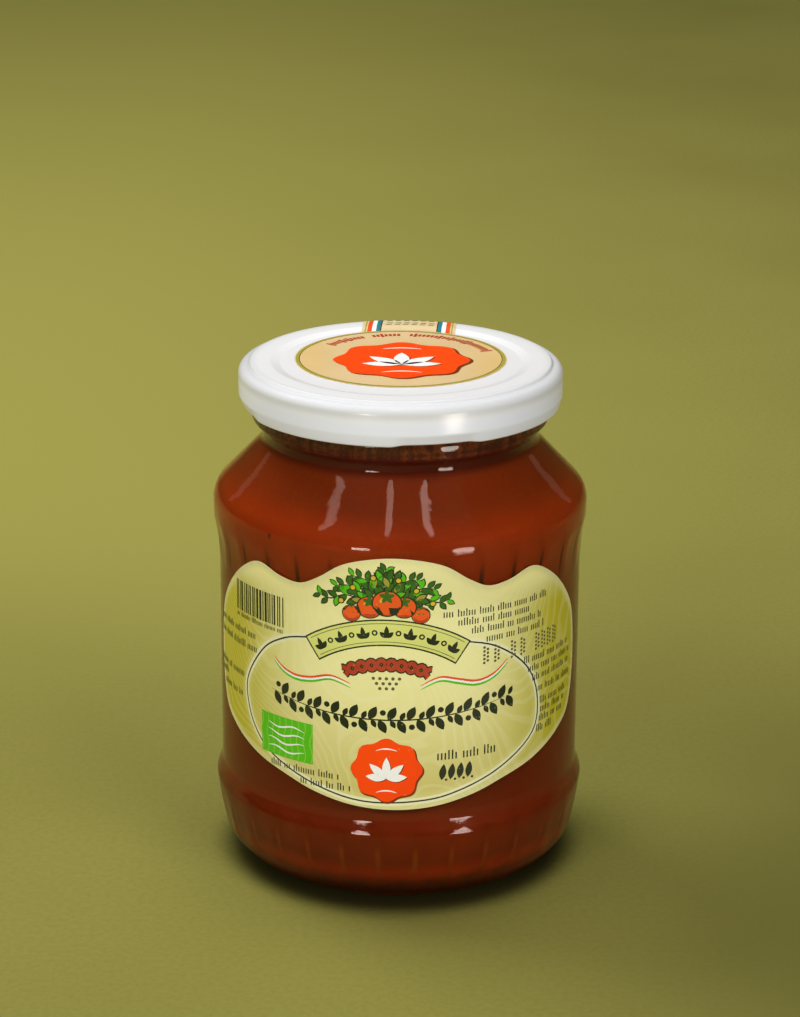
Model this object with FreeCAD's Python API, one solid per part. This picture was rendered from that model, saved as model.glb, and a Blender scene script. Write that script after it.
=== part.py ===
"""A closed glass jar of tomato paste, in millimetres.

+Z is up, the origin is on the ground under the jar's axis, and the label faces -Y.
Every piece but the label, the round sticker and the seal strip is a body of revolution.
An outline is a list of corners (radius, height, fillet), and tangent arcs round the corners.
"""
import FreeCAD, Part
import math
import os

from FreeCAD import Vector

# ---- glass: outside ----
LABEL_R = 38.88          # the straight recess that carries the label
BELT_STEP = 1.27         # the lower belt stands out by this much; it meets the next jar on a shelf
SHOULDER_STEP = 1.17     # and the upper belt by this much
BASE_INSET = 1.55        # the heel draws in by this much on its way down
HEEL_FILLET = 12.5
STAND_WIDTH = 13.4       # of the ring that the jar stands on
PUSH_UP = 1.6            # how far the underside rises at the middle
PUSH_UP_SLOPE = 6.0      # width of the slope round the raised middle
HEEL_HEIGHT = 18.3       # from the ground up to the lower belt
BELT_RAMP = 3.3          # from the lower belt up to the recess
RECESS_HEIGHT = 46.7
SHOULDER_RAMP = 9.2      # from the recess up to the upper belt
SHOULDER_HEIGHT = 5.5    # the upper belt
CONE_HEIGHT = 11.289     # from the upper belt to the neck
FINISH_R = 30.6          # the plain land inside the lid's skirt
NECK_DEPTH = 1.3         # of the groove under the ring
NECK_HEIGHT = 2.311
BEAD_STEP = 1.0          # the ring below the lid stands out by this much
BEAD_RAMP = 2.3
BEAD_HEIGHT = 2.3

# ---- glass: wall ----
WALL = 2.5
BASE_THICKNESS = 5.2
MOUTH_WALL = 3.4         # from the land to the mouth's bore, across the threads
HEEL_INNER_FILLET = 9.0

# ---- facets round the jar ----
FACETS = 30
HEEL_FACET_DEPTH = 0.15  # how far a heel facet starts inside the belt
HEEL_FACET_DROP = 1.6    # and how far below it
HEEL_FACET_SLOPE = 0.2   # radius lost for each millimetre down
HEEL_FACET_TURN = 5.4    # degrees from the front to the first edge
SCOOP_R = 32.0           # upright bend of the facets under the shoulder
SCOOP_RISE = 1.2         # they are deepest this far above the recess
SCOOP_DEPTH = 0.04       # below the label recess
SCOOP_TURN = 2.3         # degrees from the front to the first edge
SEAM_TURN = 5.0          # keeps the turned surface's seam off the middle of a facet

# ---- contents ----
FILL_DROP = 0.489        # from the neck down to the filling height
FILL_GAP = 0.05          # between the paste and the glass

# ---- lid ----
SHEET = 0.25
SEAT_GAP = 0.05          # between the lid and the glass rim
LID_ROOM = 3.8           # from the glass land to the skirt's outside, for the threads
LID_HEIGHT = 9.3
SKIRT_RISE = 0.4         # the lid's lower edge over the ring of the neck
PANEL_DROP = 0.5         # the sunk panel that carries the sticker
PANEL_RISE = 2.0         # width of the slope round the panel
RING_WIDTH = 4.3         # the raised ring round the panel
RING_INSET = 2.5         # from the skirt in to the ring
RING_STEP = 0.65         # height of the ring over the lid's shoulder
RING_STEP_WIDTH = 0.45
LID_FILLET = 1.8
SKIRT_TAPER = 2.6        # height over which the skirt turns in
SKIRT_TURN_IN = 0.6
CURL_WIDTH = 1.5         # the rolled lower edge
CURL_HEIGHT = 1.6
LUGS = 4
LUG_ARC = 29.0           # degrees
LUG_TURN = 13.0          # degrees from the front to the first lug
LUG_RISE = 0.4

# ---- printed papers ----
PAPER = 0.1
GLUE_GAP = 0.03
STICKER_MARGIN = 3.1     # from a centred sticker to the slope round the panel
STICKER_SHIFT = 2.2      # the sticker sits this far behind the lid's middle
LABEL_TURN = -1.8        # degrees from the front to the label's middle
LABEL_SPANS = 8          # pieces that the label's edge curve is cut into
STRIP_WIDTH = 20.5
STRIP_TURN = 4.0         # degrees from the back towards +X
STRIP_END = 1.6          # where the strip ends, above the upper belt

# Right half of the label's edge, laid flat: (distance from its middle line, height).
# The heights are for a panel that reaches from LABEL_DRAWN[0] to LABEL_DRAWN[1].
LABEL_DRAWN = (21.6, 83.0)
LABEL_EDGE = [
    (0.0, 80.2), (9.4, 78.6), (15.5, 74.8), (20.0, 72.7), (25.0, 73.2), (30.8, 74.9),
    (37.0, 72.0), (44.0, 66.3), (49.0, 59.0), (50.2, 48.0), (47.6, 38.8), (42.0, 34.8),
    (33.0, 31.2), (24.2, 28.8), (17.1, 26.6), (8.6, 24.8), (0.0, 24.2),
]

# ---- places that follow from the sizes ----
BELT_R = LABEL_R + BELT_STEP
SHOULDER_R = LABEL_R + SHOULDER_STEP
BASE_R = BELT_R - BASE_INSET
STAND_R = BASE_R - STAND_WIDTH
NECK_R = FINISH_R - NECK_DEPTH
BEAD_R = FINISH_R + BEAD_STEP
MOUTH_R = FINISH_R - MOUTH_WALL
LID_R = FINISH_R + LID_ROOM
RING_R = LID_R - RING_INSET
PANEL_R = RING_R - RING_WIDTH - PANEL_RISE
STICKER_R = PANEL_R - STICKER_MARGIN
BELT_Z = HEEL_HEIGHT
RECESS_LOW_Z = BELT_Z + BELT_RAMP
RECESS_HIGH_Z = RECESS_LOW_Z + RECESS_HEIGHT
RAMP_HIGH_Z = RECESS_HIGH_Z + SHOULDER_RAMP
SHOULDER_Z = RAMP_HIGH_Z + SHOULDER_HEIGHT   # where the upper belt would meet the cone
NECK_LOW_Z = SHOULDER_Z + CONE_HEIGHT
NECK_HIGH_Z = NECK_LOW_Z + NECK_HEIGHT
BEAD_LOW_Z = NECK_HIGH_Z + BEAD_RAMP
BEAD_HIGH_Z = BEAD_LOW_Z + BEAD_HEIGHT
FILL_Z = NECK_LOW_Z - FILL_DROP
SKIRT_Z = BEAD_HIGH_Z + SKIRT_RISE
SKIRT_TAPER_Z = SKIRT_Z + SKIRT_TAPER
LID_TOP_Z = SKIRT_Z + LID_HEIGHT
RIM_Z = LID_TOP_Z - SHEET - SEAT_GAP
STRIP_END_Z = SHOULDER_Z + STRIP_END
SCOOP_Z = RECESS_HIGH_Z + SCOOP_RISE
CONE_SLOPE = (SHOULDER_R - NECK_R) / CONE_HEIGHT
CONE_ANGLE = math.atan(CONE_SLOPE)           # from upright
# Moving the cone in by one wall moves its meeting with an upright wall down by this much.
CONE_SHIFT = WALL * (1 - math.sin(CONE_ANGLE)) / math.cos(CONE_ANGLE)


# ---- outlines ----
def unit(start, end):
    """Direction from one corner to the next, as (radius, height)."""
    length = math.hypot(end[0] - start[0], end[1] - start[1])
    return (end[0] - start[0]) / length, (end[1] - start[1]) / length


def offset_corners(corners, distance):
    """The same outline moved to the left of its direction; a round corner keeps its centre."""
    steps = [unit(a, b) for a, b in zip(corners, corners[1:])]
    moved = [(corners[0][0] - distance * steps[0][1], corners[0][1] + distance * steps[0][0], 0.0)]
    for (radius, height, fillet), before, after in zip(corners[1:], steps, steps[1:]):
        cosine = before[0] * after[0] + before[1] * after[1]
        turn = before[0] * after[1] - before[1] * after[0]
        reach = distance / (1 + cosine)
        moved.append((
            radius - reach * (before[1] + after[1]),
            height + reach * (before[0] + after[0]),
            max(fillet - math.copysign(distance, turn), 0.0),
        ))
    last = corners[-1]
    moved.append((last[0] - distance * steps[-1][1], last[1] + distance * steps[-1][0], 0.0))
    return moved


def outline_edges(corners):
    """Straight lines through the corners, with a tangent arc at each that has a fillet."""
    edges = []
    pen = Vector(corners[0][0], 0, corners[0][1])
    for before, corner, after in zip(corners, corners[1:], corners[2:]):
        into = unit(before, corner)
        out_of = unit(corner, after)
        fillet = corner[2]
        cosine = into[0] * out_of[0] + into[1] * out_of[1]
        if fillet < 1e-6 or cosine > 1 - 1e-9:
            end = Vector(corner[0], 0, corner[1])
            edges.append(Part.LineSegment(pen, end).toShape())
            pen = end
            continue
        half_turn = math.acos(cosine) / 2
        reach = fillet * math.tan(half_turn)
        start = Vector(corner[0] - reach * into[0], 0, corner[1] - reach * into[1])
        end = Vector(corner[0] + reach * out_of[0], 0, corner[1] + reach * out_of[1])
        inward = (out_of[0] - into[0], out_of[1] - into[1])
        size = math.hypot(*inward)
        sagitta = fillet / math.cos(half_turn) - fillet
        middle = Vector(corner[0] + sagitta * inward[0] / size, 0, corner[1] + sagitta * inward[1] / size)
        if pen.distanceToPoint(start) > 1e-6:
            edges.append(Part.LineSegment(pen, start).toShape())
        edges.append(Part.Arc(start, middle, end).toShape())
        pen = end
    last = Vector(corners[-1][0], 0, corners[-1][1])
    edges.append(Part.LineSegment(pen, last).toShape())
    return edges


def turned(corners):
    """Body of revolution of a closed outline."""
    ring = list(corners)
    if ring[0][:2] != ring[-1][:2]:
        ring.append(ring[0])
    face = Part.Face(Part.Wire(outline_edges(ring)))
    solid = face.revolve(Vector(0, 0, 0), Vector(0, 0, 1), 360)
    return Part.Solid(solid.Shells[0]) if solid.ShapeType != "Solid" else solid


def skin(path, gap, thickness):
    """Body of revolution of a sheet that lies on a path, on the path's right side."""
    near = offset_corners(path, -gap)
    far = offset_corners(path, -gap - thickness)
    return turned(near + list(reversed(far)))


def polar(radius, degrees, height=0.0):
    """A point at an angle from the front (-Y), positive towards +X."""
    angle = math.radians(degrees)
    return Vector(radius * math.sin(angle), -radius * math.cos(angle), height)


# ---- glass jar ----
RECESS_WALL = [
    (LABEL_R, RECESS_LOW_Z, 3.0),
    (LABEL_R, RECESS_HIGH_Z, 6.0),
    (SHOULDER_R, RAMP_HIGH_Z, 8.0),
    (SHOULDER_R, SHOULDER_Z, 4.5),
    (NECK_R, NECK_LOW_Z, 2.5),
]


def glass_outside():
    """From the middle of the underside, out and up to the rim."""
    underside = [
        (0.0, PUSH_UP, 0.0),
        (STAND_R - PUSH_UP_SLOPE, PUSH_UP, 6.0),
        (STAND_R, 0.0, 0.8),
        (BASE_R, 0.0, HEEL_FILLET),
        (BELT_R, BELT_Z, 2.0),
    ]
    finish = [
        (NECK_R, NECK_HIGH_Z, 1.5),
        (BEAD_R, BEAD_LOW_Z, 1.0),
        (BEAD_R, BEAD_HIGH_Z, 0.8),
        (FINISH_R, BEAD_HIGH_Z + 0.8, 0.5),
        (FINISH_R, RIM_Z, 1.0),
    ]
    return underside + RECESS_WALL + finish


def glass_inside():
    """From the middle of the inner floor, out and up to the mouth."""
    cone_meets_mouth = NECK_LOW_Z - CONE_SHIFT + (NECK_R - WALL - MOUTH_R) / CONE_SLOPE
    return [
        (0.0, BASE_THICKNESS, 0.0),
        (BASE_R - WALL - 0.4, BASE_THICKNESS, HEEL_INNER_FILLET),
        (BELT_R - WALL, BELT_Z, 3.0),
        (LABEL_R - WALL, RECESS_LOW_Z + 1.0, 4.0),
        (LABEL_R - WALL, RECESS_HIGH_Z, 6.0),
        (SHOULDER_R - WALL, RAMP_HIGH_Z, 8.0),
        (SHOULDER_R - WALL, SHOULDER_Z - CONE_SHIFT, 4.5),
        (MOUTH_R, cone_meets_mouth, 4.0),
        (MOUTH_R, RIM_Z, 1.0),
    ]


def heel_facets():
    """Upright pyramid of flat sides that trims the heel below the lower belt."""
    tall = LID_TOP_Z + 10.0
    rings = []
    for height in (-1.0, tall):
        below_top = BELT_Z - HEEL_FACET_DROP - height
        apothem = BELT_R - HEEL_FACET_DEPTH - HEEL_FACET_SLOPE * below_top
        corner_r = apothem / math.cos(math.pi / FACETS)
        points = [polar(corner_r, HEEL_FACET_TURN + 360.0 * i / FACETS, height) for i in range(FACETS)]
        rings.append(Part.makePolygon(points + points[:1]))
    return Part.makeLoft(rings, True, True)


def shoulder_scoops():
    """One lying cylinder for each facet under the shoulder belt."""
    half_width = SHOULDER_R * math.tan(2 * math.pi / FACETS)
    centre_r = LABEL_R - SCOOP_DEPTH + SCOOP_R
    scoops = []
    for i in range(FACETS):
        degrees = SCOOP_TURN + 360.0 * (i + 0.5) / FACETS
        along = polar(1.0, degrees + 90.0)
        start = polar(centre_r, degrees, SCOOP_Z) - along * half_width
        scoops.append(Part.makeCylinder(SCOOP_R, 2 * half_width, start, along))
    return scoops


def glass_jar():
    body = turned(glass_outside() + list(reversed(glass_inside())))
    body.rotate(Vector(0, 0, 0), Vector(0, 0, 1), SEAM_TURN)
    body = body.common(heel_facets())
    for scoop in shoulder_scoops():
        body = body.cut(scoop)
    return body


def tomato_paste():
    """All the space inside the glass up to the filling height, which ends below the neck."""
    hollow = offset_corners(glass_inside(), FILL_GAP)
    hollow[0] = (0.0, hollow[0][1], 0.0)
    inside = turned(hollow + [(0.0, hollow[-1][1], 0.0)])
    below_level = Part.makeCylinder(2 * BELT_R, FILL_Z)
    return inside.common(below_level)


# ---- lid ----
def lid_outside():
    """From the middle of the top, out and down to the lower edge."""
    panel_z = LID_TOP_Z - PANEL_DROP
    shoulder_z = LID_TOP_Z - RING_STEP
    edge_r = LID_R - SKIRT_TURN_IN
    return [
        (0.0, panel_z, 0.0),
        (PANEL_R, panel_z, 2.0),
        (PANEL_R + PANEL_RISE, LID_TOP_Z, 2.0),
        (RING_R, LID_TOP_Z, 0.4),
        (RING_R + RING_STEP_WIDTH, shoulder_z, 0.4),
        (LID_R, shoulder_z, LID_FILLET),
        (LID_R, SKIRT_TAPER_Z, 3.0),
        (edge_r, SKIRT_Z, 0.6),
        (edge_r - CURL_WIDTH, SKIRT_Z, 0.6),
    ]


def lid():
    """Drawn sheet whose lower edge is rolled inwards; four lugs lift that edge a little."""
    outside = lid_outside()
    curl_r = outside[-1][0]
    curl_top = SKIRT_Z + CURL_HEIGHT
    under = offset_corners(outside[:8], -SHEET)
    under[0] = (0.0, under[0][1], 0.0)
    wall = unit(outside[6], outside[7])
    share = (curl_top - under[6][1]) / wall[1]
    under[7] = (under[6][0] + share * wall[0], curl_top, 0.0)
    shell = turned(outside + [(curl_r, curl_top, 0.4)] + list(reversed(under)))
    for i in range(LUGS):
        middle = LUG_TURN + 360.0 * i / LUGS
        pie = Part.makeCylinder(2 * LID_R, LUG_RISE, Vector(0, 0, SKIRT_Z), Vector(0, 0, 1), LUG_ARC)
        pie.rotate(Vector(0, 0, 0), Vector(0, 0, 1), middle - 90.0 - LUG_ARC / 2)
        shell = shell.cut(pie)
    return shell


# ---- printed papers ----
def label_edge_points():
    """The label's whole edge on the jar, as points seen from straight in front."""
    right = LABEL_EDGE[1:-1]
    flat = LABEL_EDGE + [(-along, height) for along, height in reversed(right)]
    stretch = (SHOULDER_Z - RECESS_LOW_Z) / (LABEL_DRAWN[1] - LABEL_DRAWN[0])
    points = []
    for along, height in flat:
        degrees = LABEL_TURN + math.degrees(along / LABEL_R)
        on_jar = RECESS_LOW_Z + (height - LABEL_DRAWN[0]) * stretch
        points.append(Vector(polar(LABEL_R, degrees).x, -2 * BELT_R, on_jar))
    return points


def front_label():
    """Paper on the recess and up over the ramp to the shoulder belt, cut to its edge."""
    low = (LABEL_R, RECESS_LOW_Z + 1.0, 0.0)
    high = (SHOULDER_R, SHOULDER_Z - 1.0, 0.0)
    around = skin([low] + RECESS_WALL[1:3] + [high], GLUE_GAP, PAPER)
    curve = Part.BSplineCurve()
    curve.interpolate(label_edge_points(), PeriodicFlag=True)
    first = curve.FirstParameter
    step = (curve.LastParameter - first) / LABEL_SPANS
    spans = [curve.toShape(first + i * step, first + (i + 1) * step) for i in range(LABEL_SPANS)]
    face = Part.Face(Part.Wire(spans))
    return around.common(face.extrude(Vector(0, 2 * BELT_R, 0)))


def lid_sticker():
    """Round paper in the middle of the lid's panel."""
    bottom = LID_TOP_Z - PANEL_DROP + GLUE_GAP
    return Part.makeCylinder(STICKER_R, PAPER, Vector(0, STICKER_SHIFT, bottom))


def seal_strip():
    """Paper from the sticker over the lid's back edge, down past the neck to the shoulder."""
    lid_path = lid_outside()
    cone_z = SHOULDER_Z + (SHOULDER_R - LID_R) / CONE_SLOPE
    end_r = SHOULDER_R - (STRIP_END_Z - SHOULDER_Z) * CONE_SLOPE
    start_r = STICKER_R + STICKER_SHIFT + PAPER
    path = [(start_r, lid_path[0][1], 0.0)] + lid_path[1:6]
    path += [(LID_R, cone_z, 1.0), (end_r, STRIP_END_Z, 0.0)]
    band = skin(list(reversed(path)), GLUE_GAP, PAPER)
    cutter = Part.makeBox(STRIP_WIDTH, 2 * LID_R, 2 * LID_TOP_Z, Vector(-STRIP_WIDTH / 2, 0, 0))
    cutter.rotate(Vector(0, 0, 0), Vector(0, 0, 1), -STRIP_TURN)
    return band.common(cutter)


# ---- files ----
PIECES = {
    "glass_jar": glass_jar,
    "tomato_paste": tomato_paste,
    "lid": lid,
    "front_label": front_label,
    "lid_sticker": lid_sticker,
    "seal_strip": seal_strip,
}


def main():
    os.makedirs("parts", exist_ok=True)
    for name, make in PIECES.items():
        shape = make()
        solids = shape.Solids
        if len(solids) == 1:
            shape = solids[0]
        print(f"{name}: {len(solids)} solid, valid {shape.isValid()}, {shape.Volume / 1000:.2f} cm3")
        shape.exportStep(f"parts/{name}.step")


main()
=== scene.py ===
import bisect
import random
from math import atan2, ceil, cos, degrees, floor, pi, radians, sin, sqrt, tan

import bmesh
import bpy
from mathutils import Matrix, Vector


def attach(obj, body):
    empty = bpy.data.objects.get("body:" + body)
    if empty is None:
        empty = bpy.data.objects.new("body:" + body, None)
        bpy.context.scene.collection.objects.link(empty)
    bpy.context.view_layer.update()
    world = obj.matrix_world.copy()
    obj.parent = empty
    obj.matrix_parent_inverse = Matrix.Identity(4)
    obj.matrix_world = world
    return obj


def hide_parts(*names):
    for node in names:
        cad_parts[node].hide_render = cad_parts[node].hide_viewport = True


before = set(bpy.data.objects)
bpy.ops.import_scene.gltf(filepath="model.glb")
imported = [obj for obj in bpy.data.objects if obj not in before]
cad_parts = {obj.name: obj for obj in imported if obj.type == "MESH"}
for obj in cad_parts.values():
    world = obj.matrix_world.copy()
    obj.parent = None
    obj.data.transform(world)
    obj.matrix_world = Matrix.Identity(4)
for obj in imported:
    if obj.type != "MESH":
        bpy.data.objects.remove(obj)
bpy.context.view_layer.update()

random.seed(7)
MM = 0.001

# ---- sizes, in millimetres ----
WALL = 2.5
PUSH_UP = 1.6              # how far the underside rises at the middle
FLOOR_Z = 5.2              # the glass is this thick at the bottom
BELT_R, BELT_Z = 40.14, 18.3
LABEL_R = 38.88            # the straight recess that carries the label
RECESS_LOW_Z, RECESS_HIGH_Z = 21.6, 68.3
SHOULDER_R, SHOULDER_LOW_Z, SHOULDER_Z = 40.05, 77.5, 83.0
CONE_HEIGHT = 11.289
NECK_R = 29.3
CONE_SLOPE = (SHOULDER_R - NECK_R) / CONE_HEIGHT
BEAD_R = 31.6
FINISH_R = 30.6
MOUTH_R = 27.2
RIM_Z = 110.6
PANEL_R, PANEL_Z = 25.6, 110.4
LID_R, LID_TOP_Z, SKIRT_Z = 34.4, 110.9, 101.6

# Outlines hold (radius, height, fillet), from the middle outwards and up.
GLASS_OUTSIDE = [
    (0.0, PUSH_UP, 0.0), (19.2, PUSH_UP, 6.0), (25.2, 0.0, 0.8), (38.6, 0.0, 12.5),
    (BELT_R, BELT_Z, 2.0), (LABEL_R, RECESS_LOW_Z, 3.0), (LABEL_R, RECESS_HIGH_Z, 6.0),
    (SHOULDER_R, SHOULDER_LOW_Z, 8.0), (SHOULDER_R, SHOULDER_Z, 4.5),
    (NECK_R, SHOULDER_Z + CONE_HEIGHT, 2.5), (NECK_R, 96.6, 1.5), (BEAD_R, 98.9, 1.0),
    (BEAD_R, 101.2, 0.8), (FINISH_R, 102.0, 0.5), (FINISH_R, RIM_Z, 1.0),
]
GLASS_INSIDE = [
    (0.0, FLOOR_Z, 0.0), (35.7, FLOOR_Z, 9.5), (37.65, BELT_Z, 3.0),
    (LABEL_R - WALL, RECESS_LOW_Z + 1.0, 4.0), (LABEL_R - WALL, RECESS_HIGH_Z, 6.0),
    (SHOULDER_R - WALL, SHOULDER_LOW_Z, 8.0), (SHOULDER_R - WALL, 81.93, 4.5),
    (MOUTH_R, 92.8, 4.0), (MOUTH_R, RIM_Z, 1.0),
]
LID_OUTLINE = [
    (0.0, PANEL_Z, 0.0), (PANEL_R, PANEL_Z, 2.0), (27.6, LID_TOP_Z, 2.0),
    (31.9, LID_TOP_Z, 0.4), (32.35, 110.25, 0.4), (LID_R, 110.25, 1.8), (LID_R, 104.2, 3.0),
    (33.8, SKIRT_Z, 0.6), (32.3, SKIRT_Z, 0.6), (32.3, 103.2, 0.4), (33.9, 103.2, 0.3),
    (34.15, 104.3, 0.5), (34.15, 110.0, 1.5), (32.2, 110.0, 0.3), (31.75, 110.65, 0.3),
    (27.65, 110.65, 1.8), (25.65, 110.15, 1.8), (0.0, 110.15, 0.0),
]
PASTE_IN_WALL = 0.15       # the paste reaches this far into the glass, so no air shows
FILL_Z = 93.8
FILM, FILM_TOP = 0.3, 103.6    # a film of paste clings to the neck up to here

# Facets round the heel and in a band under the shoulder: an edge's degrees from the front,
# and how deep the inner wall is fluted behind them.
FACETS = 30
HEEL_EDGE, BAND_EDGE = 5.4, 2.3
HEEL_FLUTE, BAND_FLUTE = 0.30, 0.24
SCOOP_R, SCOOP_Z, SCOOP_FLAT = 32.0, 69.5, 38.84

LUGS = 4
LUG_TURN = 13.0            # degrees from the front to the first lug
LUG_HALF, LUG_FADE = 17.0, 6.0
LUG_LIFT, LUG_PINCH = 0.4, 0.25
LUG_TOP_Z = 104.0          # the lugs change only the skirt below this

LABEL_TURN = radians(-1.8)
PAPER_LIFT = 0.03          # of a paper's underside over what it is glued to
PAPER = 0.07
STRIP_LIFT, STRIP_PAPER = 0.02, 0.055
INK = 0.006                # thickness of a layer of ink
INK_STEP = 0.009           # each further layer lies this much higher
INK_SINK = 0.004           # the first layer starts this deep in the paper
BELT_ROOM = 40.176         # the print on the belt stays inside this radius
MOST_INK = 0.22            # the highest that ink stands over its paper
STICKER_R = 22.5
STICKER_Y = 2.2            # the sticker sits this far behind the lid's middle
STRIP_TURN = radians(4.0)
STRIP_START_R, STRIP_END = 24.8, 1.6    # the strip ends this far above the shoulder's top
STRIP_HALF = 10.25

# Right half of the label's edge, laid flat: (distance from its middle line, height).
LABEL_EDGE = [
    (0.0, 80.2), (9.4, 78.6), (15.5, 74.8), (20.0, 72.7), (25.0, 73.2), (30.8, 74.9),
    (37.0, 72.0), (44.0, 66.3), (49.0, 59.0), (50.2, 48.0), (47.6, 38.8), (42.0, 34.8),
    (33.0, 31.2), (24.2, 28.8), (17.1, 26.6), (8.6, 24.8), (0.0, 24.2),
]
RIBBON_X, RIBBON_Z = -1.4, 35.8    # the centre that the arched ribbon bends round
RIBBON_IN, RIBBON_OUT = 25.0, 30.8
RIBBON_HALF = 35.0                 # degrees to each side
OVAL_LINE = [
    (-19.0, 60.8), (-26.5, 58.4), (-31.5, 54.4), (-36.2, 47.0), (-35.6, 40.6), (-32.5, 35.7),
    (-27.8, 32.3), (-17.0, 28.2), (-6.3, 25.9), (5.5, 26.2), (13.2, 27.6), (23.9, 31.5),
    (32.6, 37.2), (34.0, 44.2), (31.3, 51.4), (24.7, 57.4), (16.5, 60.7), (0.0, 62.4),
]


# ---- turned shapes ----
def offset_outline(corners, distance):
    """The same corners moved to the left of the outline's direction."""
    moved = []
    for i, (radius, height, fillet) in enumerate(corners):
        here = Vector((radius, height))
        into = (here - Vector(corners[i - 1][:2])).normalized() if i else None
        out = (Vector(corners[i + 1][:2]) - here).normalized() if i + 1 < len(corners) else None
        into, out = into or out, out or into
        reach = distance / (1 + into.dot(out))
        moved.append((
            max(radius - reach * (into.y + out.y), 0.0),
            height + reach * (into.x + out.x),
            fillet,
        ))
    return moved


def outline(corners, arc_steps=5, longest=2.5):
    """A chain of edges through the corners, its fillets made by bevelling the corner's vertex."""
    bm = bmesh.new()
    verts = [bm.verts.new((radius * MM, 0.0, height * MM)) for radius, height, _ in corners]
    for a, b in zip(verts, verts[1:]):
        bm.edges.new((a, b))
    for i in range(1, len(corners) - 1):
        here = Vector(corners[i][:2])
        turn = (here - Vector(corners[i - 1][:2])).angle(Vector(corners[i + 1][:2]) - here)
        if corners[i][2] and turn > 1e-4:
            bmesh.ops.bevel(
                bm, geom=[verts[i]], offset=corners[i][2] * tan(turn / 2) * MM,
                offset_type="OFFSET", affect="VERTICES", profile=0.5, material=-1,
                segments=max(2, round(arc_steps * sqrt(turn))),
            )
    for edge in bm.edges[:]:
        cuts = int(edge.calc_length() / (longest * MM))
        if cuts:
            bmesh.ops.subdivide_edges(bm, edges=[edge], cuts=cuts)
    return bm


def turn_round(bm, columns):
    """Spins an outline once round the upright axis and closes its seam and poles."""
    bmesh.ops.spin(
        bm, geom=bm.verts[:] + bm.edges[:], cent=(0, 0, 0), axis=(0, 0, 1),
        angle=2 * pi, steps=columns, use_merge=True,
    )
    bmesh.ops.remove_doubles(bm, verts=bm.verts[:], dist=1e-6)
    bmesh.ops.recalc_face_normals(bm, faces=bm.faces[:])
    return bm


def from_front(co):
    """Angle of a point from the front (-Y), positive towards +X."""
    return atan2(co.x, -co.y)


def heights_and_radii(corners):
    """An outline's points as two lists, sorted by height."""
    bm = outline(corners, arc_steps=12, longest=5.0)
    points = sorted((vert.co.z / MM, vert.co.x / MM) for vert in bm.verts)
    bm.free()
    return [p[0] for p in points], [p[1] for p in points]


# ---- pieces ----
def put(thing):
    """Puts an object in the scene."""
    bpy.context.scene.collection.objects.link(thing)
    return thing


def finish_piece(bm, name, material, sharp=40.0):
    """Makes the piece's object; its sharp edges stay crisp and the rest is smooth."""
    for face in bm.faces:
        face.smooth = True
    limit = radians(sharp)
    for edge in bm.edges:
        if len(edge.link_faces) == 2 and edge.calc_face_angle(0.0) > limit:
            edge.smooth = False
    mesh = bpy.data.meshes.new(name)
    bm.to_mesh(mesh)
    bm.free()
    mesh.materials.append(material)
    piece = put(bpy.data.objects.new(name, mesh))
    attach(piece, "root")
    return piece


# ---- node helpers ----
class Nodes:
    """A node tree with short calls: add a node, set its values, wire its sockets."""

    def __init__(self, tree):
        self.tree = tree

    def feed(self, socket, value):
        """Wires or sets an input; a colour may leave out its alpha."""
        if isinstance(value, bpy.types.NodeSocket):
            self.tree.links.new(value, socket)
        elif socket.type == "RGBA":
            socket.default_value = (*value, 1.0)
        else:
            socket.default_value = value

    def add(self, kind, values=None, **settings):
        node = self.tree.nodes.new(kind)
        for key, value in settings.items():
            setattr(node, key, value)
        for key, value in (values or {}).items():
            self.feed(node.inputs[key], value)
        return node

    def math(self, operation, a, b=0.0, clamp=False):
        node = self.add("ShaderNodeMath", {0: a, 1: b}, operation=operation, use_clamp=clamp)
        return node.outputs[0]

    def times(self, a, b):
        return self.math("MULTIPLY", a, b)

    def ramp(self, value, low, high, to_low=0.0, to_high=1.0):
        """A smooth step from one number at low to another at high."""
        return self.add("ShaderNodeMapRange", {
            "Value": value, "From Min": low, "From Max": high, "To Min": to_low,
            "To Max": to_high,
        }, interpolation_type="SMOOTHSTEP").outputs["Result"]

    def mix(self, share, a, b, blend="MIX"):
        return self.add("ShaderNodeMix", {0: share, 6: a, 7: b}, data_type="RGBA",
                        blend_type=blend).outputs[2]

    def over(self, base, mask, share, color):
        """Lays a colour over the base where the mask is 1, no stronger than the share."""
        return self.mix(self.times(mask, share), base, color)

    def noise(self, vector, scale, detail=3.0, rough=0.55, stretch=None):
        if stretch:
            vector = self.add("ShaderNodeMapping", {"Vector": vector, "Scale": stretch}).outputs[0]
        return self.add("ShaderNodeTexNoise", {
            "Vector": vector, "Scale": scale, "Detail": detail, "Roughness": rough,
        }).outputs["Fac"]

    def split(self, vector):
        return self.add("ShaderNodeSeparateXYZ", {0: vector}).outputs

    def map(self, name):
        """One of the piece's own UV maps."""
        return self.add("ShaderNodeUVMap", uv_map=name).outputs["UV"]

    def from_axis(self, place):
        """How far a place is from the upright axis."""
        level = self.add("ShaderNodeVectorMath", {0: place, 1: (1.0, 1.0, 0.0)},
                         operation="MULTIPLY").outputs[0]
        return self.add("ShaderNodeVectorMath", {0: level}, operation="LENGTH").outputs["Value"]

    def bump(self, height, strength, distance, normal=None):
        values = {"Height": height, "Strength": strength, "Distance": distance}
        if normal is not None:
            values["Normal"] = normal
        return self.add("ShaderNodeBump", values).outputs["Normal"]

    def group(self, tree, place, scale, **values):
        """Places a node group, with its values given by name."""
        values |= {"Vector": place, "Scale": scale}
        return self.add("ShaderNodeGroup", values, node_tree=tree).outputs


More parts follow.
